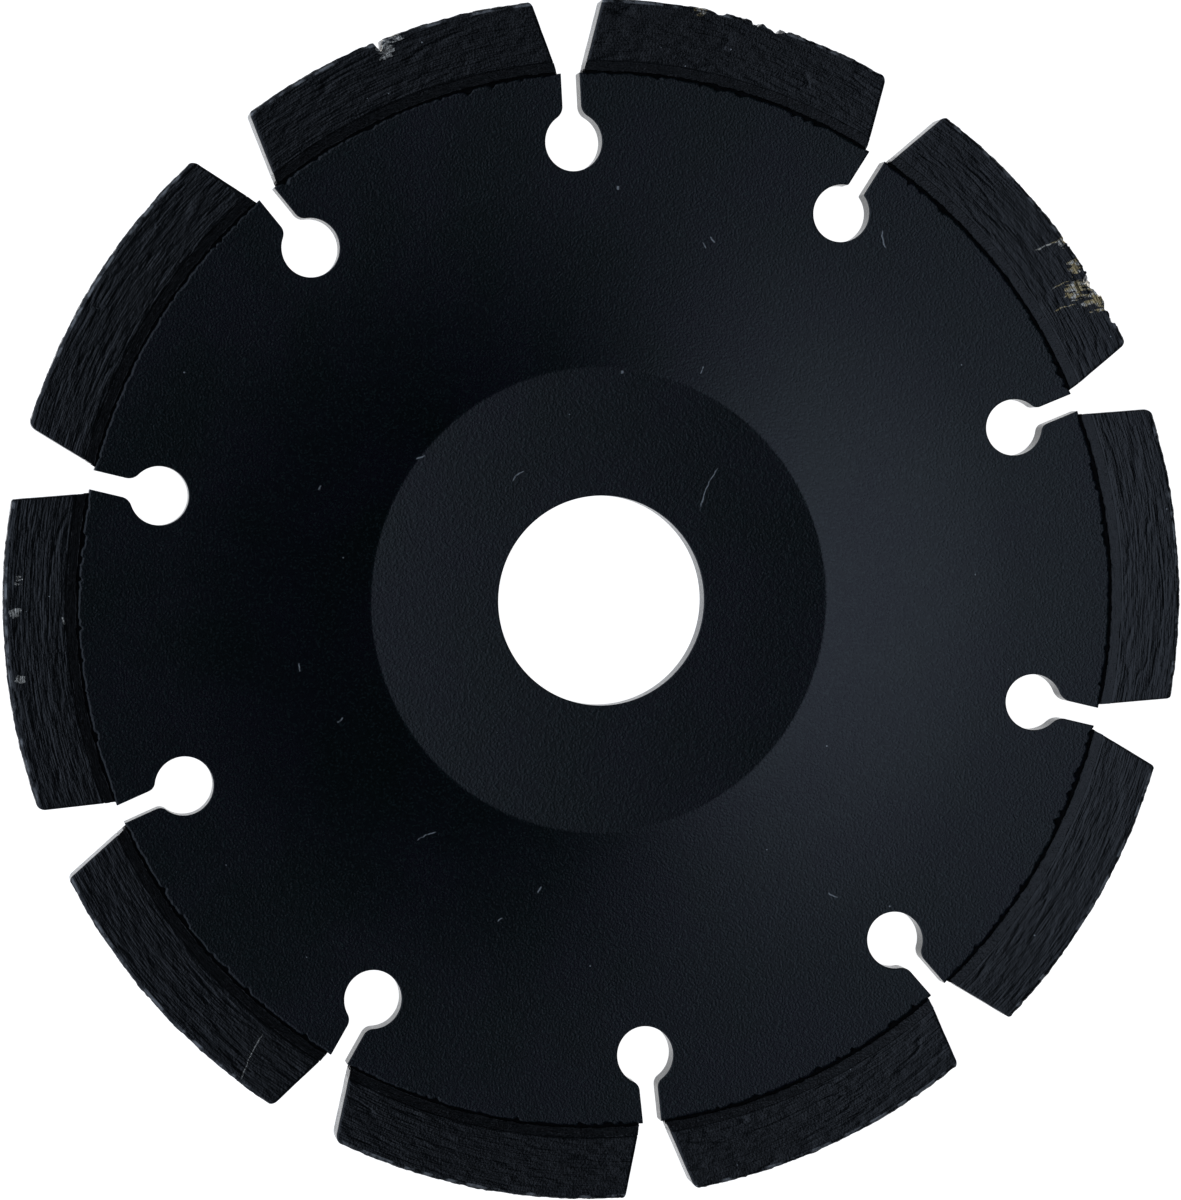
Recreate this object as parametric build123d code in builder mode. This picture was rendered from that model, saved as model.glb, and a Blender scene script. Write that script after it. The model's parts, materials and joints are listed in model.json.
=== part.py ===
from build123d import *
import math
import os

# Dished diamond blade for an angle grinder, for contour cuts in stone and tile.
# Millimetres. +Z is the bore axis and points out of the hollow side. The origin is the
# middle of the hub's flat back face, which is the lowest face and what the blade lies on.
# Segment 01 is centred on +X and the rest follow anticlockwise.

# ---- driving dimensions ----

blade_diameter = 125.0
bore_diameter = 22.23
sheet_thickness = 2.1

# The steel core is pressed: a flat hub, a tight bend, a curved dish and a straight cone.
hub_diameter = 49.0  # flat of the hub, on the hollow side
bend_radius = 1.2  # inside radius of the bend round the hub
dish_angle = 13.0  # slope of the dish as it leaves the bend
rim_angle = 7.5  # slope of the cone that carries the segments
cone_width = 10.0  # the cone's share of the core, from its edge inwards

# Segments, each a diamond layer on a diamond-free foot.
segment_count = 10
segment_height = 7.5  # radially, foot and diamond layer together
foot_height = 1.05  # radially
side_clearance = 0.45  # how far the diamond layer stands proud of each face of the core
foot_setback = 0.38  # each foot stops this far short of the slot beside it

# Gullets, which are keyhole slots between the segments.
gullet_diameter = 6.0
gullet_depth = 7.0  # from the core's edge in to the middle of the round hole
slot_width = 1.95

# Laser welds along the seam between core and foot, one on each face.
weld_width = 0.5
weld_depth = 0.35

# ---- sizes that follow ----

blade_radius = blade_diameter / 2
bore_radius = bore_diameter / 2
hub_radius = hub_diameter / 2
core_radius = blade_radius - segment_height
cone_start = core_radius - cone_width
foot_radius = core_radius + foot_height
gullet_circle = core_radius - gullet_depth
segment_thickness = sheet_thickness + 2 * side_clearance
pitch = 360.0 / segment_count

dish_slope = math.radians(dish_angle)
rim_slope = math.radians(rim_angle)
dish_start = hub_radius + bend_radius * math.sin(dish_slope)
dish_radius = (cone_start - dish_start) / (math.sin(dish_slope) - math.sin(rim_slope))
cone_start_height = (
    sheet_thickness
    + bend_radius * (1 - math.cos(dish_slope))
    + dish_radius * (math.cos(rim_slope) - math.cos(dish_slope))
)

# Segment ends are parallel to the segment's own middle radius.
foot_gap = slot_width + 2 * foot_setback
gap_half_angle = math.asin(foot_gap / 2 / core_radius)
segment_width = 2 * core_radius * math.sin(math.radians(pitch / 2) - gap_half_angle)


def radial_plane(angle):
    """The upright plane through the axis. Its X points outwards at the angle, its Y up."""
    turn = math.radians(angle)
    outwards = (math.cos(turn), math.sin(turn), 0)
    sideways = (math.sin(turn), -math.cos(turn), 0)
    return Plane(origin=(0, 0, 0), x_dir=outwards, z_dir=sideways)


def flat_plane(angle):
    """The plane of the hub's back face, its X turned to the angle."""
    turn = math.radians(angle)
    return Plane(origin=(0, 0, 0), x_dir=(math.cos(turn), math.sin(turn), 0), z_dir=(0, 0, 1))


def cone_point(radius, offset):
    """A point of the section at a radius, offset square to the middle of the cone's sheet."""
    front = cone_start_height + (radius - cone_start) * math.tan(rim_slope)
    return (radius, front + (offset - sheet_thickness / 2) / math.cos(rim_slope))


def foot_offset(radius):
    """Half the foot's thickness, which grows from the core's to the diamond layer's."""
    return sheet_thickness / 2 + side_clearance * (radius - core_radius) / foot_height


def sheet_face(height, bend, dish):
    """One face of the pressed sheet, from the bore to the start of the cone."""
    flat = Line((bore_radius, height), (hub_radius, height))
    corner = JernArc(flat @ 1, flat % 1, bend, dish_angle)
    return JernArc(corner @ 1, corner % 1, dish, rim_angle - dish_angle)


# The weld's corners in the section, for the front face (side 1) and the back face (side -1).
weld_inner = core_radius - weld_width / 2
weld_outer = core_radius + weld_width / 2


def weld_on_core(side):
    return cone_point(weld_inner, side * sheet_thickness / 2)


def weld_root(side):
    return cone_point(core_radius, side * (sheet_thickness / 2 - weld_depth))


def weld_on_foot(side):
    return cone_point(weld_outer, side * foot_offset(weld_outer))


os.makedirs("parts", exist_ok=True)

# ---- core: one pressed steel sheet with the bore and the keyhole gullets ----

with BuildPart() as core:
    with BuildSketch(Plane.XZ):
        with BuildLine():
            front = sheet_face(sheet_thickness, bend_radius, dish_radius)
            back = sheet_face(0, bend_radius + sheet_thickness, dish_radius - sheet_thickness)
            Line((bore_radius, 0), (bore_radius, sheet_thickness))
            Polyline(
                front @ 1,
                weld_on_core(1),
                weld_root(1),
                weld_root(-1),
                weld_on_core(-1),
                back @ 1,
            )
        make_face()
    revolve(axis=Axis.Z)
    with BuildSketch(Plane.XY):
        with PolarLocations(gullet_circle, segment_count, start_angle=pitch / 2):
            Circle(gullet_diameter / 2)
        with PolarLocations(gullet_circle + segment_height, segment_count, start_angle=pitch / 2):
            Rectangle(2 * segment_height, slot_width)
    extrude(amount=blade_radius, mode=Mode.SUBTRACT)
core.part.label = "core"
export_step(core.part, "parts/core.step")

# ---- segments: diamond layer, foot and pair of welds, one of each round the core ----
# Each section is turned through one pitch, then cut to a slab whose sides are the parallel ends.

for number in range(1, segment_count + 1):
    middle = (number - 1) * pitch
    section_plane = radial_plane(middle - pitch / 2)
    slab_plane = flat_plane(middle)

    with BuildPart() as segment:
        with BuildSketch(section_plane):
            with BuildLine():
                Polyline(
                    cone_point(foot_radius, segment_thickness / 2),
                    cone_point(blade_radius, segment_thickness / 2),
                    cone_point(blade_radius, -segment_thickness / 2),
                    cone_point(foot_radius, -segment_thickness / 2),
                    close=True,
                )
            make_face()
        revolve(axis=Axis.Z, revolution_arc=pitch)
        with BuildSketch(slab_plane):
            Rectangle(3 * blade_radius, segment_width)
        extrude(amount=blade_radius, both=True, mode=Mode.INTERSECT)
    segment.part.label = f"segment_{number:02d}"
    export_step(segment.part, f"parts/segment_{number:02d}.step")

    with BuildPart() as foot:
        with BuildSketch(section_plane):
            with BuildLine():
                Polyline(
                    weld_root(1),
                    weld_on_foot(1),
                    cone_point(foot_radius, segment_thickness / 2),
                    cone_point(foot_radius, -segment_thickness / 2),
                    weld_on_foot(-1),
                    weld_root(-1),
                    close=True,
                )
            make_face()
        revolve(axis=Axis.Z, revolution_arc=pitch)
        with BuildSketch(slab_plane):
            Rectangle(3 * blade_radius, segment_width)
        extrude(amount=blade_radius, both=True, mode=Mode.INTERSECT)
    foot.part.label = f"segment_foot_{number:02d}"
    export_step(foot.part, f"parts/segment_foot_{number:02d}.step")

    with BuildPart() as weld:
        for side in (1, -1):
            with BuildSketch(section_plane):
                with BuildLine():
                    Polyline(
                        weld_on_core(side),
                        weld_on_foot(side),
                        weld_root(side),
                        close=True,
                    )
                make_face()
        revolve(axis=Axis.Z, revolution_arc=pitch)
        with BuildSketch(slab_plane):
            Rectangle(3 * blade_radius, segment_width)
        extrude(amount=blade_radius, both=True, mode=Mode.INTERSECT)
    weld.part.label = f"weld_{number:02d}"
    export_step(weld.part, f"parts/weld_{number:02d}.step")
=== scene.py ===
import json
import math

import bpy
import numpy as np
from mathutils import Matrix, Vector
from mathutils.geometry import delaunay_2d_cdt


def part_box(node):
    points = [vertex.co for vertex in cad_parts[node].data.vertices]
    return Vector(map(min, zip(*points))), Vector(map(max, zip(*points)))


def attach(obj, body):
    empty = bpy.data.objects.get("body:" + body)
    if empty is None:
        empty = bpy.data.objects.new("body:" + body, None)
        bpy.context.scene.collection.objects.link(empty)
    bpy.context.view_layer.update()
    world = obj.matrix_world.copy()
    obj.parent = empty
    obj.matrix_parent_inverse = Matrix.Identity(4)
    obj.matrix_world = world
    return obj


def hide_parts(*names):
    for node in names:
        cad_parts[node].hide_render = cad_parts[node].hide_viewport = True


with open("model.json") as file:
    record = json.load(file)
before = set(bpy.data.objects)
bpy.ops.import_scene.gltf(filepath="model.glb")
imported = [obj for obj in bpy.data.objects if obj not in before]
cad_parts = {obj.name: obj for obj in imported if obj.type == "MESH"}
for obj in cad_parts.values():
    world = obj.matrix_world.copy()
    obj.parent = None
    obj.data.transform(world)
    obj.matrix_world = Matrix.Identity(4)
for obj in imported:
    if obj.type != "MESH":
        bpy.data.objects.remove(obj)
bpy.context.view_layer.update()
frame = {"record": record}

# ---- Core ----
# The core is one disc of steel sheet, pressed into a hollow dish round a flat hub. The bore and
# the ten keyhole gullets are cut first, so their edges are slightly rolled, and the whole blade
# is sprayed black at the end.

MM = 0.001
mounts = {m["name"]: m for m in frame["record"]["mounts"]}
bore_radius = mounts["bore"]["dims"]["r_mm"]
sheet = mounts["bore"]["dims"]["length_mm"]
core_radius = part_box("core")[1].x / MM
blade_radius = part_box("segment_01")[1].x / MM
segment_count = 10
pitch = 2 * math.pi / segment_count

hub_radius = 24.5
bend_radius = 1.2
dish_angle = math.radians(13)
rim_angle = math.radians(7.5)
cone_width = 10.0
gullet_radius = 3.0
gullet_depth = 7.0
slot_width = 1.95

dish_start = hub_radius + bend_radius * math.sin(dish_angle)
dish_radius = (core_radius - cone_width - dish_start) / (math.sin(dish_angle) - math.sin(rim_angle))
dish_middle = dish_start + dish_radius * math.sin(dish_angle)
gullet_circle = core_radius - gullet_depth


def sheet_section(radius, depth):
    """Height and slope, at each radius, of the sheet at a depth below its hollow face."""
    bend = bend_radius + depth
    dish = dish_radius - depth
    flat = sheet - depth
    bend_end = hub_radius + bend * math.sin(dish_angle)
    cone_start = dish_middle - dish * math.sin(rim_angle)
    into_bend = np.clip((radius - hub_radius) / bend, 0, math.sin(dish_angle))
    off_crown = np.clip((dish_middle - radius) / dish, math.sin(rim_angle), math.sin(dish_angle))
    bent = flat + bend * (1 - np.sqrt(1 - into_bend**2))
    dished = dish * (np.sqrt(1 - off_crown**2) - math.cos(dish_angle))
    straight = np.maximum(radius - cone_start, 0) * math.tan(rim_angle)
    height = bent + np.where(radius > bend_end, dished + straight, 0)
    slope = np.where(radius > bend_end, np.arcsin(off_crown), np.arcsin(into_bend))
    return height, slope


def lumps(points, size, seed):
    """Smooth noise from -1 to 1 at each point, its lumps of about the given size on each axis."""
    table = np.random.default_rng(seed).uniform(-1, 1, 8192)
    cell = np.asarray(points, float) / np.asarray(size, float)
    corner = np.floor(cell).astype(np.int64)
    part = cell - corner
    part = part * part * (3 - 2 * part)
    total = np.zeros(len(cell))
    for i in (0, 1):
        for j in (0, 1):
            for k in (0, 1):
                spread = (corner + (i, j, k)) @ np.array((73856093, 19349663, 83492791))
                share = np.prod(np.where((i, j, k), part, 1 - part), axis=1)
                total += share * table[spread % len(table)]
    return total


def make_piece(name, points, faces, normals=None):
    """A mesh object from points in millimetres, with its own vertex normals if they are given."""
    mesh = bpy.data.meshes.new(name)
    mesh.from_pydata((np.asarray(points) * MM).tolist(), [], [list(f) for f in faces])
    mesh.validate()
    mesh.shade_smooth()
    if normals is not None:
        mesh.normals_split_custom_set_from_vertices(normals.tolist())
    piece = bpy.data.objects.new(name, mesh)
    bpy.context.scene.collection.objects.link(piece)
    return piece


edge_roll = 0.14
rim_roll = 0.27
least_roll = 0.05
slot_steps, mouth_steps, hole_steps, rim_steps = 26, 12, 60, 170
gullet_points = 2 * (slot_steps + mouth_steps) + hole_steps + rim_steps

# The cutter left the corners between slots and holes more or less round, gullet by gullet.
mouth_rounds = (0.9, 0.25, 1.4, 1.2, 1.3, 1.0, 1.2, 1.1, 1.3, 1.6)


def keyhole_outline(inset):
    """The core's edge, gullets included, moved into the metal by an inset for each point."""
    insets = np.broadcast_to(inset, (segment_count * gullet_points,))
    stretches = (
        ("in", slot_steps),
        ("in mouth", mouth_steps),
        ("hole", hole_steps),
        ("out mouth", mouth_steps),
        ("out", slot_steps),
        ("rim", rim_steps),
    )
    rows = []
    at = 0
    for number in range(segment_count):
        middle = (number + 0.5) * pitch
        for part, steps in stretches:
            moved = insets[at : at + steps]
            crack = seam_crack[at : at + steps]
            at += steps
            half = slot_width / 2 + moved
            hole = gullet_radius + moved
            rim = core_radius - crack - moved
            mouth = mouth_rounds[number] - moved
            mouth_x = gullet_circle + np.sqrt((hole + mouth) ** 2 - (half + mouth) ** 2)
            corner = np.sqrt(rim**2 - half**2)
            open_angle = np.arctan2(half + mouth, mouth_x - gullet_circle)
            along = np.linspace(0, 1, steps, endpoint=False)
            if part == "in":
                x, y = corner + (mouth_x - corner) * along, -half
            elif part == "in mouth":
                turn = math.pi / 2 * (1 - along) + (math.pi - open_angle) * along
                x, y = mouth_x + mouth * np.cos(turn), mouth * np.sin(turn) - half - mouth
            elif part == "hole":
                turn = -open_angle - (2 * math.pi - 2 * open_angle) * along
                x, y = gullet_circle + hole * np.cos(turn), hole * np.sin(turn)
            elif part == "out mouth":
                turn = -(math.pi - open_angle) * (1 - along) - math.pi / 2 * along
                x, y = mouth_x + mouth * np.cos(turn), mouth * np.sin(turn) + half + mouth
            elif part == "out":
                x, y = mouth_x + (corner - mouth_x) * along, half
            else:
                first = np.arcsin(half / rim)
                turn = first + (pitch - 2 * first) * along
                x, y = rim * np.cos(turn), rim * np.sin(turn)
            turned_x = x * math.cos(middle) - y * math.sin(middle)
            turned_y = x * math.sin(middle) + y * math.cos(middle)
            rows.append(np.stack([turned_x, turned_y], axis=1))
    return np.concatenate(rows)


bore_steps = 240


def bore_outline(inset):
    """The bore's edge, moved into the metal by an inset for each point."""
    turn = np.linspace(0, 2 * math.pi, bore_steps, endpoint=False)
    return np.stack([(bore_radius + inset) * np.cos(turn), (bore_radius + inset) * np.sin(turn)], axis=1)


def metal_side(loop):
    """The direction out of the metal at each point of a loop that keeps the metal on its left."""
    along = np.roll(loop, -1, axis=0) - np.roll(loop, 1, axis=0)
    along /= np.linalg.norm(along, axis=1)[:, None]
    return np.stack([along[:, 1], -along[:, 0]], axis=1)


# The edge is uneven where the laser left burrs, and the seam beside it is a ragged open crack,
# which starts a little off each slot and widens over a short way.
crack_start, crack_taper = 0.2, 0.8
seam_crack = np.zeros(segment_count * gullet_points)
edge = keyhole_outline(0.0)
edge_3d = np.c_[edge, np.zeros(len(edge))]
on_rim = np.linalg.norm(edge, axis=1) > core_radius - 0.05
uneven = 0.06 * lumps(edge_3d, (0.9,) * 3, 3) + 0.05 * lumps(edge_3d, (0.35,) * 3, 4)
nicks = np.maximum(lumps(edge_3d, (0.55,) * 3, 5) - 0.35, 0) * 0.7
ragged = 0.10 + 0.06 * lumps(edge_3d, (0.7,) * 3, 6) + 0.06 * lumps(edge_3d, (0.3,) * 3, 7) + nicks
off_gullet = np.abs((np.arctan2(edge[:, 1], edge[:, 0]) / pitch) % 1 - 0.5) * pitch * core_radius
from_slot = np.clip((off_gullet - slot_width / 2 - crack_start) / crack_taper, 0, 1)
seam_crack = np.where(on_rim, np.maximum(ragged, 0.01), 0.0) * from_slot
edge_inset = np.maximum(np.where(on_rim, rim_roll + uneven, edge_roll + 0.4 * uneven), least_roll)

# Down an edge: a rolled edge, the wall and a rolled edge again, as shares of the inset.
roll_steps, wall_steps = 5, 5
roll_drop = 0.5  # the rolled edge's drop, as a share of its width
quarter = np.linspace(0, math.pi / 2, roll_steps + 1)
shares = np.concatenate([1 - np.sin(quarter), np.zeros(wall_steps - 1), 1 - np.sin(quarter[::-1])])


def face_normal(points, radius, slope, side):
    """The sheet's own normal, on the hollow side or the back."""
    lean = (-np.sin(slope) / np.maximum(radius, 1e-6))[:, None] * points[:, :2]
    return side * np.c_[lean, np.cos(slope)]


def edge_rings(outline, insets):
    """Point rings and normals down one edge of the core, from the hollow face to the back."""
    rings, normals = [], []
    walls = np.linspace(0, 1, wall_steps + 1)[1:-1]
    for step, share in enumerate(shares):
        loop = outline(insets * share)
        outwards = metal_side(loop)
        radius = np.linalg.norm(loop, axis=1)
        front, front_slope = sheet_section(radius, 0.0)
        back, back_slope = sheet_section(radius, sheet)
        drop = roll_drop * insets
        if step <= roll_steps:
            tip = quarter[step]
            height = front - drop * (1 - math.cos(tip))
            facing = face_normal(loop, radius, front_slope, 1)
        elif step < roll_steps + wall_steps:
            tip = math.pi / 2
            high, low = front - drop, back + drop
            height = high + (low - high) * walls[step - roll_steps - 1]
            facing = face_normal(loop, radius, front_slope, 1)
        else:
            tip = quarter[::-1][step - roll_steps - wall_steps]
            height = back + drop * (1 - math.cos(tip))
            facing = face_normal(loop, radius, back_slope, -1)
        rings.append(np.c_[loop, height])
        lean = math.cos(tip) * facing + roll_drop * math.sin(tip) * np.c_[outwards, np.zeros(len(loop))]
        normals.append(lean / np.linalg.norm(lean, axis=1)[:, None])
    return rings, normals


bend_spacing, open_spacing = 0.5, 1.0
keep_clear = 0.6


def ring_points():
    """Points inside the core's outline, on rings that crowd together at the bend."""
    bend_rings = np.linspace(hub_radius, hub_radius + (bend_radius + sheet) * math.sin(dish_angle), 9)
    hub_rings = np.arange(bore_radius + 0.7, hub_radius - 0.3, open_spacing)
    dish_rings = np.arange(bend_rings[-1] + 0.5, core_radius - 0.9, open_spacing)
    rows = []
    for count, radius in enumerate(np.concatenate([hub_rings, bend_rings, dish_rings])):
        at_bend = hub_radius - 0.1 < radius < bend_rings[-1] + 0.1
        spacing = bend_spacing if at_bend else open_spacing
        number = int(round(2 * math.pi * radius / spacing / segment_count)) * segment_count
        turn = (np.arange(number) + 0.5 * (count % 2)) * 2 * math.pi / number
        rows.append(np.stack([radius * np.cos(turn), radius * np.sin(turn)], axis=1))
    points = np.concatenate(rows)
    turn = np.arctan2(points[:, 1], points[:, 0])
    off = turn - (np.floor(turn / pitch) + 0.5) * pitch
    radius = np.linalg.norm(points, axis=1)
    x, y = radius * np.cos(off), radius * np.sin(off)
    near_hole = np.hypot(x - gullet_circle, y) < gullet_radius + keep_clear
    near_slot = (np.abs(y) < slot_width / 2 + keep_clear) & (x > gullet_circle)
    return points[~near_hole & ~near_slot]


def enclosed(points, loop):
    """Whether each point lies inside a closed loop, by counting the edges to its right."""
    start, end = loop, np.roll(loop, -1, axis=0)
    found = np.zeros(len(points), bool)
    batch = 2000
    for i in range(0, len(points), batch):
        x, y = points[i : i + batch, 0, None], points[i : i + batch, 1, None]
        spans = (start[:, 1] > y) != (end[:, 1] > y)
        rise = np.where(spans, end[:, 1] - start[:, 1], 1)
        cross = start[:, 0] + (y - start[:, 1]) * (end[:, 0] - start[:, 0]) / rise
        found[i : i + batch] = np.sum(spans & (cross > x), axis=1) % 2 == 1
    return found


rim_rings, rim_normals = edge_rings(keyhole_outline, edge_inset)
rim_loop = rim_rings[0][:, :2]
bore_insets = np.full(bore_steps, edge_roll)
bore_rings, bore_normals = edge_rings(lambda inset: bore_outline(inset)[::-1], bore_insets)
bore_loop = bore_rings[0][:, :2]
inside = ring_points()

flat_points = np.concatenate([rim_loop, bore_loop, inside])
rim_count, bore_count = len(rim_loop), len(bore_loop)
rim_edges = [(i, (i + 1) % rim_count) for i in range(rim_count)]
bore_edges = [(rim_count + i, rim_count + (i + 1) % bore_count) for i in range(bore_count)]
made = delaunay_2d_cdt(
    [Vector(p) for p in flat_points.tolist()], rim_edges + bore_edges, [], 0, 1e-6, True
)
source = np.array([ids[0] for ids in made[3]])
triangles = source[np.array(made[2])]
in_metal = enclosed(flat_points[triangles].mean(axis=1), rim_loop)
in_bore = np.all((triangles >= rim_count) & (triangles < rim_count + bore_count), axis=1)
triangles = triangles[in_metal & ~in_bore].tolist()

rings_deep = len(shares)
rim_start, bore_start = 0, rings_deep * rim_count
front_start = bore_start + rings_deep * bore_count
back_start = front_start + len(inside)
inside_radius = np.linalg.norm(inside, axis=1)
front_height, front_slope = sheet_section(inside_radius, 0.0)
back_height, back_slope = sheet_section(inside_radius, sheet)
core_points = np.concatenate(
    rim_rings + bore_rings + [np.c_[inside, front_height], np.c_[inside, back_height]]
)
core_normals = np.concatenate(
    rim_normals
    + bore_normals
    + [face_normal(inside, inside_radius, front_slope, 1), face_normal(inside, inside_radius, back_slope, -1)]
)


def face_index(corner, ring, first_inside):
    """Where a corner of the flat triangulation lies in the core's points, on one of its two faces."""
    if corner < rim_count:
        return rim_start + ring * rim_count + corner
    if corner < rim_count + bore_count:
        return bore_start + ring * bore_count + corner - rim_count
    return first_inside + corner - rim_count - bore_count


core_faces = []
for corners in triangles:
    core_faces.append([face_index(c, 0, front_start) for c in corners])
    core_faces.append([face_index(c, rings_deep - 1, back_start) for c in reversed(corners)])
for start, count in ((rim_start, rim_count), (bore_start, bore_count)):
    for ring in range(rings_deep - 1):
        upper, lower = start + ring * count, start + (ring + 1) * count
        for i in range(count):
            after = (i + 1) % count
            core_faces.append([upper + i, lower + i, lower + after, upper + after])

core = make_piece("core_sheet", core_points, core_faces, core_normals)


def new_material(name):
    """A material with only a Principled shader, its tree, and its place on the object in mm."""
    material = bpy.data.materials.new(name)
    material.use_nodes = True
    tree = material.node_tree
    coordinates = tree.nodes.new("ShaderNodeTexCoord")
    place = vector_sum(tree, "SCALE", coordinates.outputs["Object"], factor=1 / MM)
    return material, tree, tree.nodes["Principled BSDF"], place


def feed(tree, socket, value):
    """Joins an output to a socket, or sets the socket to a plain value."""
    if isinstance(value, bpy.types.NodeSocket):
        tree.links.new(value, socket)
    else:
        socket.default_value = value


def number_sum(tree, operation, *values):
    """The output of a Math node."""
    made_node = tree.nodes.new("ShaderNodeMath")
    made_node.operation = operation
    for socket, value in zip(made_node.inputs, values):
        feed(tree, socket, value)
    return made_node.outputs[0]


def vector_sum(tree, operation, *values, factor=None):
    """The output of a Vector Math node, which is a number for DOT_PRODUCT and LENGTH."""
    made_node = tree.nodes.new("ShaderNodeVectorMath")
    made_node.operation = operation
    for socket, value in zip(made_node.inputs, values):
        feed(tree, socket, value)
    if factor is not None:
        feed(tree, made_node.inputs["Scale"], factor)
    return made_node.outputs["Value" if operation in ("DOT_PRODUCT", "LENGTH") else "Vector"]


def step_up(tree, value, low, high, to_low=0.0, to_high=1.0):
    """A smooth step of a value from to_low, below low, to to_high, above high."""
    made_node = tree.nodes.new("ShaderNodeMapRange")
    made_node.interpolation_type = "SMOOTHSTEP"
    for socket, given in zip(made_node.inputs, (value, low, high, to_low, to_high)):
        feed(tree, socket, given)
    return made_node.outputs["Result"]


def noise(tree, place, size, detail=2.0, stretch=None):
    """Noise from 0 to 1 with lumps of about a size in mm, on a place that may be squeezed first."""
    made_node = tree.nodes.new("ShaderNodeTexNoise")
    made_node.inputs["Detail"].default_value = detail
    feed(tree, made_node.inputs["Scale"], number_sum(tree, "DIVIDE", 1.0, size))
    feed(tree, made_node.inputs["Vector"], vector_sum(tree, "MULTIPLY", place, stretch) if stretch else place)
    return made_node.outputs["Fac"]


def noise_vector(tree, place, size):
    """Noise from -0.5 to 0.5 on each axis."""
    made_node = tree.nodes.new("ShaderNodeTexNoise")
    made_node.inputs["Detail"].default_value = 1.0
    made_node.inputs["Scale"].default_value = 1 / size
    feed(tree, made_node.inputs["Vector"], place)
    return vector_sum(tree, "SUBTRACT", made_node.outputs["Color"], (0.5, 0.5, 0.5))


def blend_colour(tree, share, first, second):
    """A colour mixed from two by a share."""
    made_node = tree.nodes.new("ShaderNodeMix")
    made_node.data_type = "RGBA"
    feed(tree, made_node.inputs["Factor"], share)
    for socket, value in zip(made_node.inputs[6:8], (first, second)):
        feed(tree, socket, value if isinstance(value, bpy.types.NodeSocket) else (*value, 1))
    return made_node.outputs[2]


def new_group(name, inputs, outputs):
    """A shader node group with named inputs and outputs, and its two end nodes."""
    group = bpy.data.node_groups.new(name, "ShaderNodeTree")
    for label, value in inputs.items():
        kind = "NodeSocketVector" if value is None else "NodeSocketFloat"
        socket = group.interface.new_socket(label, in_out="INPUT", socket_type=kind)
        if value is not None:
            socket.default_value = value
    for label in outputs:
        group.interface.new_socket(label, in_out="OUTPUT", socket_type="NodeSocketFloat")
    return group, group.nodes.new("NodeGroupInput").outputs, group.nodes.new("NodeGroupOutput").inputs


def use_group(tree, group, place, **values):
    """A group placed in a material on its coordinates, with its own values."""
    made_node = tree.nodes.new("ShaderNodeGroup")
    made_node.node_tree = group
    tree.links.new(place, made_node.inputs["Place"])
    for label, value in values.items():
        feed(tree, made_node.inputs[label.replace("_", " ").title()], value)
    return made_node.outputs


def bump(tree, shader, height, depth):
    """Feeds a height in mm, times a depth, to the shader's normal."""
    made_node = tree.nodes.new("ShaderNodeBump")
    made_node.inputs["Distance"].default_value = depth * MM
    tree.links.new(height, made_node.inputs["Height"])
    tree.links.new(made_node.outputs["Normal"], shader.inputs["Normal"])


# Sprayed paint dries with a fine grain, and its gloss and tint drift a little over the sheet.
paint_film, given, result = new_group(
    "paint_film", {"Place": None, "Grain Size": 0.25, "Mottle Size": 6.0}, ("Height", "Grain", "Mottle")
)
grain = noise(paint_film, given["Place"], given["Grain Size"], 3.0)
mottle = noise(paint_film, given["Place"], given["Mottle Size"], 3.0)
feed(paint_film, result["Grain"], step_up(paint_film, grain, 0.3, 0.7))
feed(paint_film, result["Mottle"], step_up(paint_film, mottle, 0.3, 0.7))
feed(paint_film, result["Height"], grain)

# Dust specks: one round speck in a share of the cells of a jittered grid, each of its own size.
dust_specks, given, result = new_group(
    "dust_specks", {"Place": None, "Spacing": 2.5, "Share": 0.3, "Size": 0.1}, ("Mask",)
)
cells = dust_specks.nodes.new("ShaderNodeTexVoronoi")
feed(dust_specks, cells.inputs["Vector"], given["Place"])
feed(dust_specks, cells.inputs["Scale"], number_sum(dust_specks, "DIVIDE", 1.0, given["Spacing"]))
lots = dust_specks.nodes.new("ShaderNodeSeparateColor")
feed(dust_specks, lots.inputs[0], cells.outputs["Color"])
chosen = number_sum(dust_specks, "LESS_THAN", lots.outputs[0], given["Share"])
speck = number_sum(dust_specks, "MULTIPLY", lots.outputs[1], given["Size"])
away = number_sum(dust_specks, "MULTIPLY", cells.outputs["Distance"], given["Spacing"])
inside_speck = number_sum(dust_specks, "LESS_THAN", away, speck)
feed(dust_specks, result["Mask"], number_sum(dust_specks, "MULTIPLY", inside_speck, chosen))

# A scratch is a thin bowed line, its mask fading at both sides and both ends.
scratch, given, result = new_group(
    "scratch",
    {"Place": None, "X": 0.0, "Y": 0.0, "Angle": 0.0, "Length": 1.0, "Width": 0.1, "Bow": 0.0},
    ("Mask",),
)
middle = scratch.nodes.new("ShaderNodeCombineXYZ")
feed(scratch, middle.inputs[0], given["X"])
feed(scratch, middle.inputs[1], given["Y"])
turned = scratch.nodes.new("ShaderNodeVectorRotate")
turned.rotation_type = "Z_AXIS"
flat_place = vector_sum(scratch, "MULTIPLY", given["Place"], (1, 1, 0))
feed(scratch, turned.inputs["Vector"], vector_sum(scratch, "SUBTRACT", flat_place, middle.outputs[0]))
feed(scratch, turned.inputs["Angle"], number_sum(scratch, "MULTIPLY", given["Angle"], -1.0))
parts = scratch.nodes.new("ShaderNodeSeparateXYZ")
feed(scratch, parts.inputs[0], turned.outputs[0])
half_length = number_sum(scratch, "DIVIDE", given["Length"], 2.0)
along_it = number_sum(scratch, "DIVIDE", parts.outputs[0], half_length)
bowed = number_sum(scratch, "MULTIPLY", number_sum(scratch, "MULTIPLY", along_it, along_it), given["Bow"])
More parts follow.
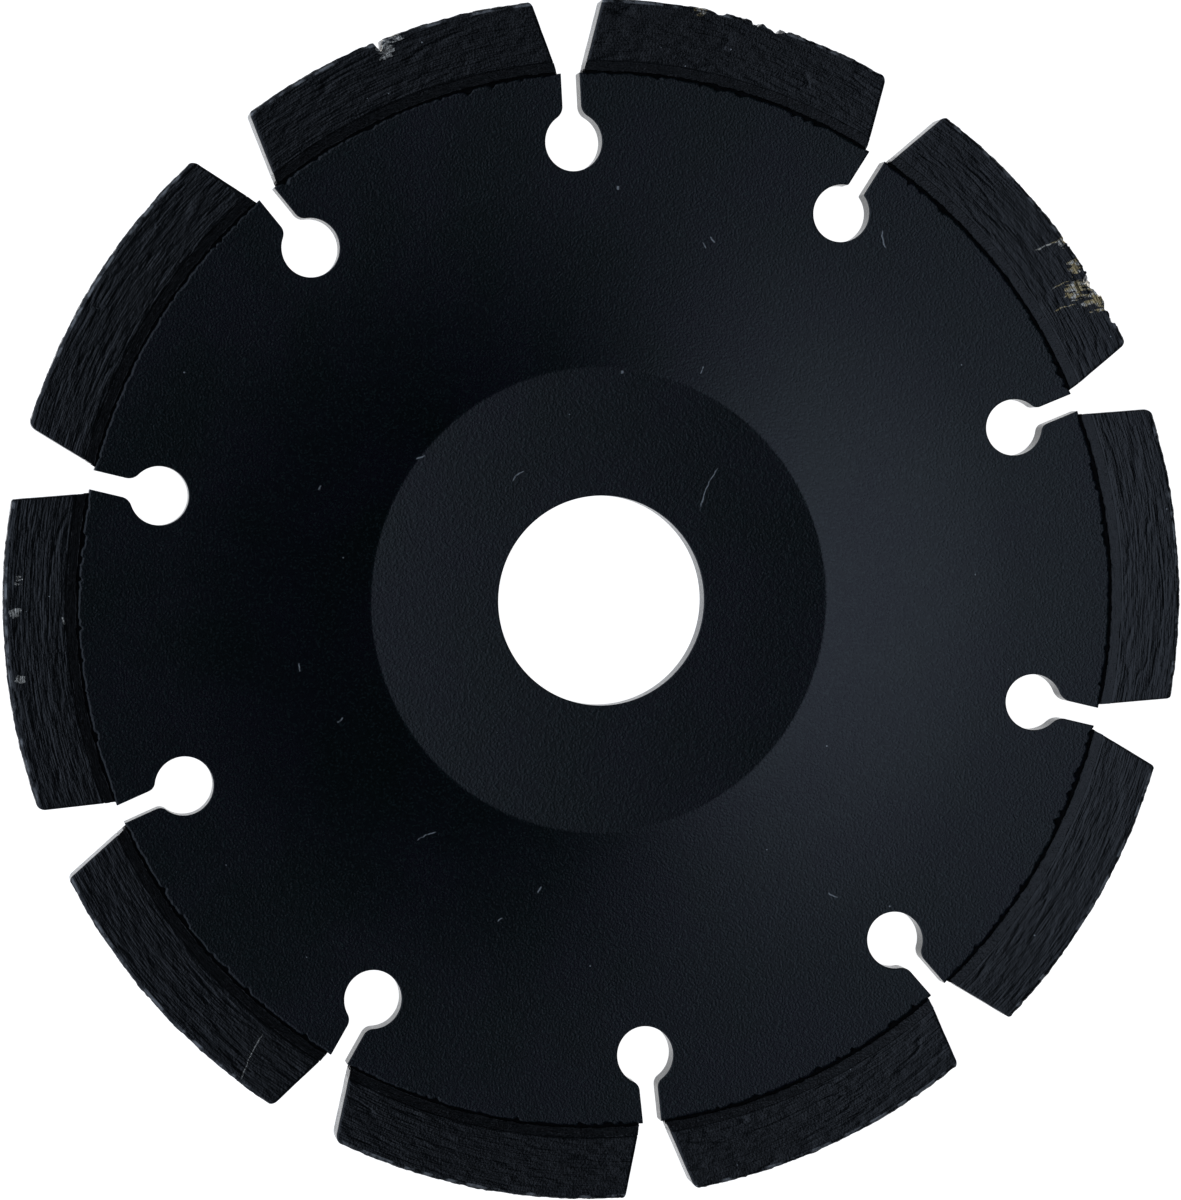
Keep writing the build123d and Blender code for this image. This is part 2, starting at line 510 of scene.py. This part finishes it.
offset = number_sum(scratch, "ADD", parts.outputs[1], bowed)
aside = number_sum(scratch, "DIVIDE", number_sum(scratch, "ABSOLUTE", offset), given["Width"])
across_share = step_up(scratch, aside, 0.4, 1.0, 1.0, 0.0)
along_share = step_up(scratch, number_sum(scratch, "ABSOLUTE", along_it), 0.7, 1.0, 1.0, 0.0)
feed(scratch, result["Mask"], number_sum(scratch, "MULTIPLY", across_share, along_share))


def facing_up(tree, mask):
    """A mask kept to the hollow side."""
    coordinates = tree.nodes.new("ShaderNodeTexCoord")
    upwards = vector_sum(tree, "DOT_PRODUCT", coordinates.outputs["Normal"], (0, 0, 1))
    return number_sum(tree, "MULTIPLY", mask, step_up(tree, upwards, 0.3, 0.5))


def scratches(tree, place, marks):
    """The strongest of several scratches on the hollow face: their lines waver and break up."""
    waver = vector_sum(tree, "SCALE", noise_vector(tree, place, 0.6), factor=0.3)
    wavering = vector_sum(tree, "ADD", place, waver)
    strongest = None
    for x, y, angle, length, width, bow in marks:
        mask = use_group(
            tree, scratch, wavering, x=x, y=y, angle=math.radians(angle), length=length, width=width, bow=bow
        )["Mask"]
        strongest = mask if strongest is None else number_sum(tree, "MAXIMUM", strongest, mask)
    broken = step_up(tree, noise(tree, place, 0.35), 0.35, 0.5, 0.3, 1.0)
    return facing_up(tree, number_sum(tree, "MULTIPLY", strongest, broken))


# Handling marks on the hollow face: middle x and y, angle in degrees, length, half width and bow.
core_marks = (
    (12.3, 11.0, 62, 5.2, 0.07, 0.35),
    (32.5, 35.7, 100, 2.1, 0.10, 0.25),
    (14.3, 37.0, 125, 0.9, 0.09, 0.0),
    (13.4, 36.5, 110, 0.7, 0.08, 0.0),
    (4.4, 43.0, 80, 0.45, 0.17, 0.0),
    (4.1, 23.9, 80, 0.40, 0.14, 0.0),
    (12.7, 23.5, 70, 0.9, 0.07, 0.0),
    (-18.1, 16.6, 20, 1.0, 0.09, 0.0),
    (-29.0, 14.3, 60, 0.6, 0.10, 0.0),
    (-32.7, -4.0, 95, 1.0, 0.07, 0.0),
    (-28.9, -9.9, 30, 0.8, 0.08, 0.0),
    (-20.9, -22.7, 15, 2.4, 0.07, 0.2),
    (-9.4, -29.7, 50, 0.8, 0.09, 0.0),
    (-14.0, -32.3, 30, 0.7, 0.08, 0.0),
    (-8.0, 14.0, 35, 1.8, 0.08, 0.2),
    (22.0, -33.5, 150, 1.3, 0.07, 0.1),
)

teal_black, violet_black = (0.0, 0.003, 0.0032), (0.0015, 0.001, 0.006)
grain_light, dust_grey = (0.013, 0.022, 0.022), (0.42, 0.43, 0.42)

core_paint, tree, shader, place = new_material("black_paint_on_steel")
film = use_group(tree, paint_film, place, grain_size=0.22, mottle_size=9.0)
specks = use_group(tree, dust_specks, place)["Mask"]
marks = number_sum(tree, "MAXIMUM", scratches(tree, place, core_marks), facing_up(tree, specks))
colour = blend_colour(tree, film["Mottle"], teal_black, violet_black)
colour = blend_colour(tree, number_sum(tree, "POWER", film["Grain"], 3.0), colour, grain_light)
feed(tree, shader.inputs["Base Color"], blend_colour(tree, marks, colour, dust_grey))
gloss = number_sum(tree, "MULTIPLY_ADD", film["Mottle"], 0.05, 0.24)
gloss = number_sum(tree, "MULTIPLY_ADD", film["Grain"], -0.10, gloss)
feed(tree, shader.inputs["Roughness"], number_sum(tree, "MULTIPLY_ADD", marks, 0.4, gloss))
bump(tree, shader, film["Height"], 0.034)
core.data.materials.append(core_paint)
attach(core, "root")
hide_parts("core")

# ---- Segments ----
# Each segment's cutting layer is metal powder with diamond grit, pressed and sintered into a bar
# and ground on its faces, which leaves fine ridges along it. The rim is dressed rough, its edges
# are worn round, and a few are chipped. There are ten, on the feet that follow.

side_clearance = 0.45
foot_height = 1.05
foot_setback = 0.38
foot_radius = core_radius + foot_height
layer_overlap = 0.05
layer_half = sheet / 2 + side_clearance
gap_half_angle = math.asin((slot_width / 2 + foot_setback) / core_radius)
segment_half = core_radius * math.sin(pitch / 2 - gap_half_angle)


def lines(low, high, roll, step):
    """Lattice lines from low to high, with extra ones inside the rolled edges."""
    ends = np.array((0.0, 0.3, 0.62, 1.0)) * roll
    middle = np.linspace(low + roll, high - roll, max(2, int(round((high - low) / step))))
    return np.concatenate([low + ends[:-1], middle, high - ends[-2::-1]])


def bar_surface(across, along, through, roll):
    """A closed box of lattice lines with rolled edges: its points, outward directions and faces."""
    axes = (across, along, through)
    low = np.array([a[0] for a in axes])
    high = np.array([a[-1] for a in axes])
    ids, points, faces = {}, [], []

    def corner(i, j, k):
        key = (i, j, k)
        if key not in ids:
            ids[key] = len(points)
            points.append((across[i], along[j], through[k]))
        return ids[key]

    counts = [len(a) for a in axes]
    for flat in range(3):
        first, second = (flat + 1) % 3, (flat + 2) % 3
        for end in (0, counts[flat] - 1):
            for a in range(counts[first] - 1):
                for b in range(counts[second] - 1):
                    quad = []
                    for da, db in ((0, 0), (1, 0), (1, 1), (0, 1)):
                        place = [0, 0, 0]
                        place[flat], place[first], place[second] = end, a + da, b + db
                        quad.append(corner(*place))
                    faces.append(quad if end else quad[::-1])
    points = np.array(points)
    core_box = np.clip(points, low + roll, high - roll)
    away = points - core_box
    away /= np.linalg.norm(away, axis=1)[:, None]
    return core_box + roll * away, away, faces


def wrap(points, half_thickness, turn):
    """Bends bar points (across, radius, share of the half thickness) onto the rim's cone."""
    across, radius, share = points.T
    middle_front, _ = sheet_section(radius, 0.0)
    middle_back, _ = sheet_section(radius, sheet)
    height = (middle_front + middle_back) / 2 + share * half_thickness(radius) / math.cos(rim_angle)
    out = np.sqrt(np.maximum(radius**2 - across**2, 0))
    x = out * math.cos(turn) - across * math.sin(turn)
    y = out * math.sin(turn) + across * math.cos(turn)
    return np.c_[x, y, height]


def grit(points, size, seed):
    """Noise from -1 to 1 with lumps of one size on every axis."""
    return lumps(points, (size,) * 3, seed)


worn_reach = 0.5  # how far in from the rim its edges are worn round


def segment_relief(points, away, number):
    """How far each point lies below the moulded shape, on the faces, the rim and the ends."""
    seed = 100 * number
    radius = points[:, 1]
    ridges = (
        0.014 * lumps(points, (4.0, 0.7, 1.5), seed + 1)
        + 0.014 * lumps(points, (1.8, 0.36, 1.0), seed + 2)
        + 0.013 * lumps(points, (0.8, 0.24, 0.5), seed + 3)
    )
    furrow = lumps(points, (5.0, 0.7, 3.0), seed + 4)
    broken = lumps(points, (2.2, 1.0, 3.0), seed + 5)
    furrows = 0.035 * np.exp(-((furrow / 0.08) ** 2)) * np.clip(broken * 3 + 0.2, 0, 1)
    toward_rim = np.clip((radius - blade_radius + worn_reach) / worn_reach, 0, 1)
    worn_round = toward_rim**2 * (0.20 + 0.06 * lumps(points, (2.0, 9.0, 3.0), seed + 10))
    face = 0.05 - ridges + furrows + worn_round
    wavy = 0.05 * lumps(points, (2.4, 2.4, 3.0), seed + 9)
    dressed = 0.14 - wavy - 0.06 * grit(points, 0.5, seed + 6) - 0.03 * grit(points, 0.25, seed + 7)
    dressed = np.where(away[:, 1] > 0, dressed, 0.02)
    moulded = 0.03 - 0.02 * grit(points, 0.9, seed + 8)
    parts = away**2
    return parts[:, 2] * face + parts[:, 1] * dressed + parts[:, 0] * moulded


# Where the rim of a segment is chipped: each chip's middle and reach along it, and its depth.
chips = {2: ((-6.0, 5.5, 1.3), (-11.0, 3.5, 0.9)), 3: ((-1.5, 7.0, 0.9),), 4: ((0.5, 1.8, 1.1),)}


def chipped(points, number):
    """How far the dressed rim has broken back at each point."""
    across = points[:, 0]
    deep = np.zeros(len(points))
    for middle, reach, depth in chips.get(number, ()):
        window = np.clip(1.3 * (1 - np.abs(across - middle) / reach), 0, 1)
        bites = np.clip(grit(points * (1, 0, 0.45), 0.75, 1000 + number) + 0.15, 0, 1)
        bites += 0.5 * np.clip(grit(points * (1, 0, 0.6), 0.35, 1100 + number), 0, 1)
        deep = np.maximum(deep, depth * window * bites)
    return deep


def rounded_corners(shape, number):
    """Draws the ends in near the rim, where the bar's corners have worn round."""
    ends = np.random.default_rng(50 + number).uniform(0.35, 0.95, 2)
    worn = np.where(shape[:, 0] > 0, ends[0], ends[1])
    into = np.clip(shape[:, 1] - (blade_radius - worn), 0, worn)
    return shape[:, 0] * (1 - (worn - np.sqrt(worn**2 - into**2)) / segment_half)


segment_roll = 0.24
bar_across = lines(-segment_half, segment_half, segment_roll, 0.2)
bar_along = lines(foot_radius - layer_overlap, blade_radius, segment_roll, 0.085)
bar_through = lines(-layer_half, layer_half, segment_roll, 0.2)
layer_shape, layer_away, layer_faces = bar_surface(bar_across, bar_along, bar_through, segment_roll)

# Grinding leaves broken lines along the arc, finer than the ridges in the bar's own shape.
ground_lines, given, result = new_group(
    "ground_lines", {"Place": None, "Line Width": 0.16, "Line Length": 2.0}, ("Height", "Lines")
)
parts = ground_lines.nodes.new("ShaderNodeSeparateXYZ")
feed(ground_lines, parts.inputs[0], given["Place"])
turn = number_sum(ground_lines, "ARCTAN2", parts.outputs[1], parts.outputs[0])
out = vector_sum(ground_lines, "LENGTH", vector_sum(ground_lines, "MULTIPLY", given["Place"], (1, 1, 0)))
unrolled = ground_lines.nodes.new("ShaderNodeCombineXYZ")
arc = number_sum(ground_lines, "MULTIPLY", turn, core_radius)
for socket, length, size in (
    (unrolled.inputs[0], arc, given["Line Length"]),
    (unrolled.inputs[1], out, given["Line Width"]),
    (unrolled.inputs[2], parts.outputs[2], 1.0),
):
    feed(ground_lines, socket, number_sum(ground_lines, "DIVIDE", length, size))
line_noise = noise(ground_lines, unrolled.outputs[0], 1.0, 3.0)
fine_grit = noise(ground_lines, given["Place"], 0.22, 2.0)
feed(ground_lines, result["Lines"], step_up(ground_lines, line_noise, 0.35, 0.65))
feed(ground_lines, result["Height"], number_sum(ground_lines, "MULTIPLY_ADD", fine_grit, 0.6, line_noise))

# Paint is gone from a patch, more so towards its middle. Torn is the noise that breaks its outline.
bare_patch, given, result = new_group(
    "bare_patch", {"Place": None, "X": 0.0, "Y": 0.0, "Reach": 1.0, "Torn": 0.5}, ("Mask",)
)
middle = bare_patch.nodes.new("ShaderNodeCombineXYZ")
feed(bare_patch, middle.inputs[0], given["X"])
feed(bare_patch, middle.inputs[1], given["Y"])
flat_place = vector_sum(bare_patch, "MULTIPLY", given["Place"], (1, 1, 0))
from_middle = vector_sum(bare_patch, "SUBTRACT", flat_place, middle.outputs[0])
distance = vector_sum(bare_patch, "LENGTH", from_middle)
share = number_sum(bare_patch, "DIVIDE", distance, given["Reach"])
nearness = number_sum(bare_patch, "SUBTRACT", 1.0, share)
torn = number_sum(bare_patch, "MULTIPLY_ADD", given["Torn"], 4.6, -2.45)
torn = step_up(bare_patch, number_sum(bare_patch, "ADD", torn, nearness), 0.0, 0.25)
near = number_sum(bare_patch, "GREATER_THAN", nearness, 0.0)
feed(bare_patch, result["Mask"], number_sum(bare_patch, "MULTIPLY", torn, near))

# Where paint has gone: middle x and y, and reach.
bare_spots = (
    (55.3, 28.3, 2.1),
    (53.2, 29.0, 1.5),
    (52.9, 31.5, 0.9),
    (51.9, 34.1, 0.7),
    (-60.4, 7.5, 0.5),
    (-61.0, 4.4, 0.65),
    (-61.1, -2.3, 0.6),
    (-19.2, 58.2, 1.0),
    (-18.0, 59.4, 0.8),
    (14.0, 60.6, 0.7),
)

# Handling marks, given as the core's are.
layer_marks = (
    (50.1, 33.9, 17, 3.3, 0.10, 0.0),
    (51.6, 27.2, 16, 2.6, 0.07, 0.1),
    (51.2, 29.6, 22, 2.4, 0.06, 0.1),
    (52.6, 28.6, 18, 2.4, 0.08, 0.0),
    (-41.4, -42.8, 58, 5.4, 0.07, 0.2),
    (-56.3, 3.1, 95, 0.8, 0.09, 0.0),
    (-19.6, 57.4, 40, 0.8, 0.1, 0.0),
)
# Black paint, and a lighter colour that is a painted sheen for the ground lines.
layer_black, layer_painted_sheen = (0.0, 0.001, 0.0015), (0.003, 0.0035, 0.0035)
pale_layer, golden_layer, worn_edge = (0.66, 0.62, 0.53), (0.44, 0.34, 0.17), (0.30, 0.30, 0.29)

# Paint is rubbed thin in a broken band close to the rim: where it starts, is full, fades and ends.
band = [blade_radius - inwards for inwards in (0.60, 0.48, 0.34, 0.22)]

layer_paint, tree, shader, place = new_material("black_paint_on_sintered_layer")
ground = use_group(tree, ground_lines, place)
film = use_group(tree, paint_film, place, mottle_size=2.5)
bare = None
streaks = noise(tree, place, 0.5, 3.0, (0.35, 1.3, 1.0))
for x, y, reach in bare_spots:
    mask = use_group(tree, bare_patch, place, x=x, y=y, reach=reach, torn=streaks)["Mask"]
    bare = mask if bare is None else number_sum(tree, "MAXIMUM", bare, mask)
marks = number_sum(tree, "MAXIMUM", facing_up(tree, bare), scratches(tree, place, layer_marks))
out = vector_sum(tree, "LENGTH", vector_sum(tree, "MULTIPLY", place, (1, 1, 0)))
band_inner = step_up(tree, out, band[0], band[1])
band_outer = step_up(tree, out, band[2], band[3], 1.0, 0.0)
at_rim = number_sum(tree, "MULTIPLY", band_inner, band_outer)
rubbed = number_sum(tree, "MULTIPLY", at_rim, step_up(tree, noise(tree, place, 1.6, 3.0), 0.47, 0.62))
specks = use_group(tree, dust_specks, place, spacing=1.2, share=0.2, size=0.09)["Mask"]
dusty = facing_up(tree, specks)
# Painted sheen: the ground lines get the lighter colour, standing in for light caught along them.
colour = blend_colour(tree, ground["Lines"], layer_black, layer_painted_sheen)
colour = blend_colour(tree, dusty, colour, dust_grey)
colour = blend_colour(tree, rubbed, colour, worn_edge)
aside = vector_sum(tree, "DOT_PRODUCT", place, (1, 0, 0))
stained = step_up(tree, noise(tree, place, 0.7), 0.38, 0.53)
browner = number_sum(tree, "MULTIPLY", stained, step_up(tree, aside, 0, 10))
bare_colour = blend_colour(tree, browner, pale_layer, golden_layer)
feed(tree, shader.inputs["Base Color"], blend_colour(tree, marks, colour, bare_colour))
rubbed_metal = number_sum(tree, "MULTIPLY", rubbed, 0.7)
feed(tree, shader.inputs["Metallic"], number_sum(tree, "MAXIMUM", marks, rubbed_metal))
gloss = number_sum(tree, "MULTIPLY_ADD", ground["Lines"], -0.06, 0.20)
gloss = number_sum(tree, "MULTIPLY_ADD", rubbed, 0.2, gloss)
gloss = number_sum(tree, "MULTIPLY_ADD", film["Mottle"], 0.05, gloss)
feed(tree, shader.inputs["Roughness"], number_sum(tree, "MULTIPLY_ADD", dusty, 0.3, gloss))
shader.inputs["Specular IOR Level"].default_value = 0.6
bump(tree, shader, ground["Height"], 0.045)

for number in range(1, segment_count + 1):
    shape = layer_shape - layer_away * segment_relief(layer_shape, layer_away, number)[:, None]
    shape[:, 1] = np.minimum(shape[:, 1], blade_radius - chipped(layer_shape, number))
    shape[:, 0] = rounded_corners(shape, number)
    shape[:, 2] /= layer_half
    points = wrap(shape, lambda radius: np.full(len(radius), layer_half), (number - 1) * pitch)
    segment = make_piece(f"diamond_segment_{number:02d}", points, layer_faces)
    segment.data.materials.append(layer_paint)
    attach(segment, "root")
    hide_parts(f"segment_{number:02d}")

# ---- Feet ----
# The foot of each segment is the same bar's lower edge, sintered without diamond so that it can
# be welded. It slopes from the sheet's faces up to the wider cutting layer, and stays smooth.

foot_roll = 0.06
foot_sunk = 0.02
seam_reach = 0.35
# Black paint, and a lighter colour that is a painted sheen for the ground lines.
foot_black, foot_painted_sheen = (0.0, 0.001, 0.001), (0.004, 0.0035, 0.0035)
foot_across = lines(-segment_half, segment_half, foot_roll, 0.22)
foot_along = lines(core_radius, foot_radius + layer_overlap, foot_roll, 0.09)
foot_through = lines(-layer_half, layer_half, foot_roll, 0.25)
foot_shape, foot_away, foot_faces = bar_surface(foot_across, foot_along, foot_through, foot_roll)


def foot_half(radius):
    """Half the foot's thickness on its way from the sheet to the cutting layer."""
    rise = np.clip((radius - core_radius) / foot_height, 0, 1)
    return sheet / 2 + side_clearance * rise - foot_sunk


foot_paint, tree, shader, place = new_material("black_paint_on_foot")
ground = use_group(tree, ground_lines, place, line_width=0.22, line_length=1.5)
# Painted sheen: the ground lines get the lighter colour, standing in for light caught along them.
feed(tree, shader.inputs["Base Color"], blend_colour(tree, ground["Lines"], foot_black, foot_painted_sheen))
feed(tree, shader.inputs["Roughness"], number_sum(tree, "MULTIPLY_ADD", ground["Lines"], -0.08, 0.28))
bump(tree, shader, ground["Height"], 0.12)

for number in range(1, segment_count + 1):
    seed = 2000 + 20 * number
    relief = 0.045 - 0.025 * lumps(foot_shape, (1.6, 0.45, 1.5), seed)
    relief -= 0.018 * grit(foot_shape, 0.35, seed + 4)
    seam = np.clip(1 - (foot_shape[:, 1] - core_radius) / seam_reach, 0, 1)
    bitten = np.maximum(grit(foot_shape * (1, 0, 1), 0.6, seed + 1) + 0.1, 0)
    relief += seam * (0.03 + 0.08 * bitten) * foot_away[:, 2] ** 2
    shape = foot_shape - foot_away * relief[:, None]
    ragged = 0.07 + 0.05 * grit(foot_shape, 0.6, seed + 2) + 0.04 * grit(foot_shape, 0.25, seed + 3)
    shape[:, 1] += np.maximum(ragged + 0.1 * bitten, 0.0) * seam
    shape[:, 2] /= layer_half
    points = wrap(shape, foot_half, (number - 1) * pitch)
    foot = make_piece(f"segment_foot_{number:02d}", points, foot_faces)
    foot.data.materials.append(foot_paint)
    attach(foot, "root")
    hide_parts(f"segment_foot_{number:02d}")

# ---- Welds ----
# A laser weld joins each foot to the core from both faces. It leaves a fine ragged furrow along
# the seam, with the weld's own metal a little below the surface.

weld_half_width = 0.42
weld_half_depth = 0.15
weld_roll = 0.03
weld_sunk = 0.36
weld_black, weld_grey = (0.001, 0.001, 0.001), (0.003, 0.003, 0.004)
weld_across = lines(-segment_half, segment_half, weld_roll, 0.18)
weld_along = lines(core_radius - weld_half_width, core_radius + weld_half_width, weld_roll, 0.07)
weld_through = lines(-weld_half_depth, weld_half_depth, weld_roll, 0.15)
weld_shape, _, weld_faces = bar_surface(weld_across, weld_along, weld_through, weld_roll)

weld_paint, tree, shader, place = new_material("black_paint_on_weld")
film = use_group(tree, paint_film, place, grain_size=0.2, mottle_size=1.0)
feed(tree, shader.inputs["Base Color"], blend_colour(tree, film["Mottle"], weld_black, weld_grey))
feed(tree, shader.inputs["Roughness"], number_sum(tree, "MULTIPLY_ADD", film["Grain"], 0.15, 0.75))
shader.inputs["Specular IOR Level"].default_value = 0.15
bump(tree, shader, film["Height"], 0.1)

for number in range(1, segment_count + 1):
    points, faces = [], []
    for side in (1, -1):
        seed = 3000 + 20 * number + side
        shape = weld_shape.copy()
        sunk = weld_sunk + 0.08 * grit(shape, 0.5, seed) + 0.03 * grit(shape, 0.2, seed + 5)
        middle = side * (sheet / 2 - sunk - 0.1)
        shape[:, 2] = (middle + shape[:, 2]) / (sheet / 2)
        faces += [[c + len(weld_shape) * len(points) for c in quad] for quad in weld_faces]
        points.append(wrap(shape, lambda radius: np.full(len(radius), sheet / 2), (number - 1) * pitch))
    weld = make_piece(f"laser_weld_{number:02d}", np.concatenate(points), faces)
    weld.data.materials.append(weld_paint)
    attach(weld, "root")
    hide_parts(f"weld_{number:02d}")

# ---- Studio ----
# The blade lies on its hub on a plain white table that glows evenly, so it takes no shadow. The
# room around is dark, with soft light from overhead and from the left.

table_half = 3.0
table_corners = [(x * table_half, y * table_half, 0) for x, y in ((-1, -1), (1, -1), (1, 1), (-1, 1))]
floor_mesh = bpy.data.meshes.new("table_top")
floor_mesh.from_pydata(table_corners, [], [(0, 1, 2, 3)])
floor = bpy.data.objects.new("table_top", floor_mesh)
bpy.context.scene.collection.objects.link(floor)
floor_white = bpy.data.materials.new("white_table")
floor_white.use_nodes = True
shader = floor_white.node_tree.nodes["Principled BSDF"]
shader.inputs["Base Color"].default_value = (0.8, 0.8, 0.8, 1)
shader.inputs["Roughness"].default_value = 0.9
shader.inputs["Emission Color"].default_value = (1, 1, 1, 1)
shader.inputs["Emission Strength"].default_value = 1.0
floor_mesh.materials.append(floor_white)

# The room is dark but for soft patches of light: a long one overhead, a wide one on the left and
# faint ones elsewhere. Each is a middle and two sizes, level parts of a direction, and a strength.
light_blue = (0.81, 0.95, 1.21)
light_patches = (
    (-0.133, 0.018, 0.254, 0.530, 0.80),
    (-0.64, 0.0, 0.27, 0.95, 0.70),
    (0.69, 0.25, 0.23, 0.90, 0.03),
    (0.0, 0.85, 0.60, 0.18, 0.08),
    (0.0, -0.85, 0.60, 0.18, 0.10),
)
room_level = 0.003

world = bpy.data.worlds.new("studio")
bpy.context.scene.world = world
world.use_nodes = True
tree = world.node_tree
direction = tree.nodes.new("ShaderNodeTexCoord").outputs["Generated"]
height = vector_sum(tree, "DOT_PRODUCT", direction, (0, 0, 1))
strength = step_up(tree, height, 0.05, 0.35, 0.30, room_level)
for x, y, width, length, level in light_patches:
    off = vector_sum(tree, "SUBTRACT", direction, (x, y, 0))
    off = vector_sum(tree, "MULTIPLY", off, (1 / width, 1 / length, 0))
    cubed = number_sum(tree, "POWER", vector_sum(tree, "LENGTH", off), 3.0)
    patch = number_sum(tree, "POWER", math.e, number_sum(tree, "MULTIPLY", cubed, -1.0))
    strength = number_sum(tree, "MULTIPLY_ADD", patch, level, strength)
room = tree.nodes["Background"]
room.inputs["Color"].default_value = (*light_blue, 1)
tree.links.new(strength, room.inputs["Strength"])

# Seen directly, the room's wall is white like the table.
wall = tree.nodes.new("ShaderNodeBackground")
wall.inputs["Color"].default_value = (1, 1, 1, 1)
seen = tree.nodes.new("ShaderNodeLightPath")
pick = tree.nodes.new("ShaderNodeMixShader")
for socket, value in zip(pick.inputs, (seen.outputs["Is Camera Ray"], room.outputs[0], wall.outputs[0])):
    tree.links.new(value, socket)
tree.links.new(pick.outputs[0], tree.nodes["World Output"].inputs["Surface"])

# ---- Camera ----
# The camera stands over the blade, a little to its left, and looks down into the hollow side
# through a long lens. It is turned a few degrees about its own line of sight.

camera_data = bpy.data.cameras.new("camera")
camera = bpy.data.objects.new("camera", camera_data)
bpy.context.scene.collection.objects.link(camera)
bpy.context.scene.camera = camera
camera_data.lens = 91.6
camera_data.sensor_width = 36.0
camera_distance = 323.3 * MM
camera_tilt = math.radians(11.9)
camera_bearing = math.radians(165.1)
camera_roll = math.radians(4.58)
aim_aside, aim_up = -1.22, 0.18
hub_middle = Vector((0, 0, sheet * MM))
towards = Vector(
    (
        math.sin(camera_tilt) * math.cos(camera_bearing),
        math.sin(camera_tilt) * math.sin(camera_bearing),
        math.cos(camera_tilt),
    )
)
camera_place = hub_middle + camera_distance * towards
aim = hub_middle + Vector((aim_aside, aim_up, 0)) * MM
back = (camera_place - aim).normalized()
upright = Vector((math.sin(camera_roll), math.cos(camera_roll), 0))
side = upright.cross(back).normalized()
above = back.cross(side)
camera.matrix_world = Matrix.Translation(camera_place) @ Matrix((side, above, back)).transposed().to_4x4()

bpy.context.scene.view_settings.view_transform = "Standard"
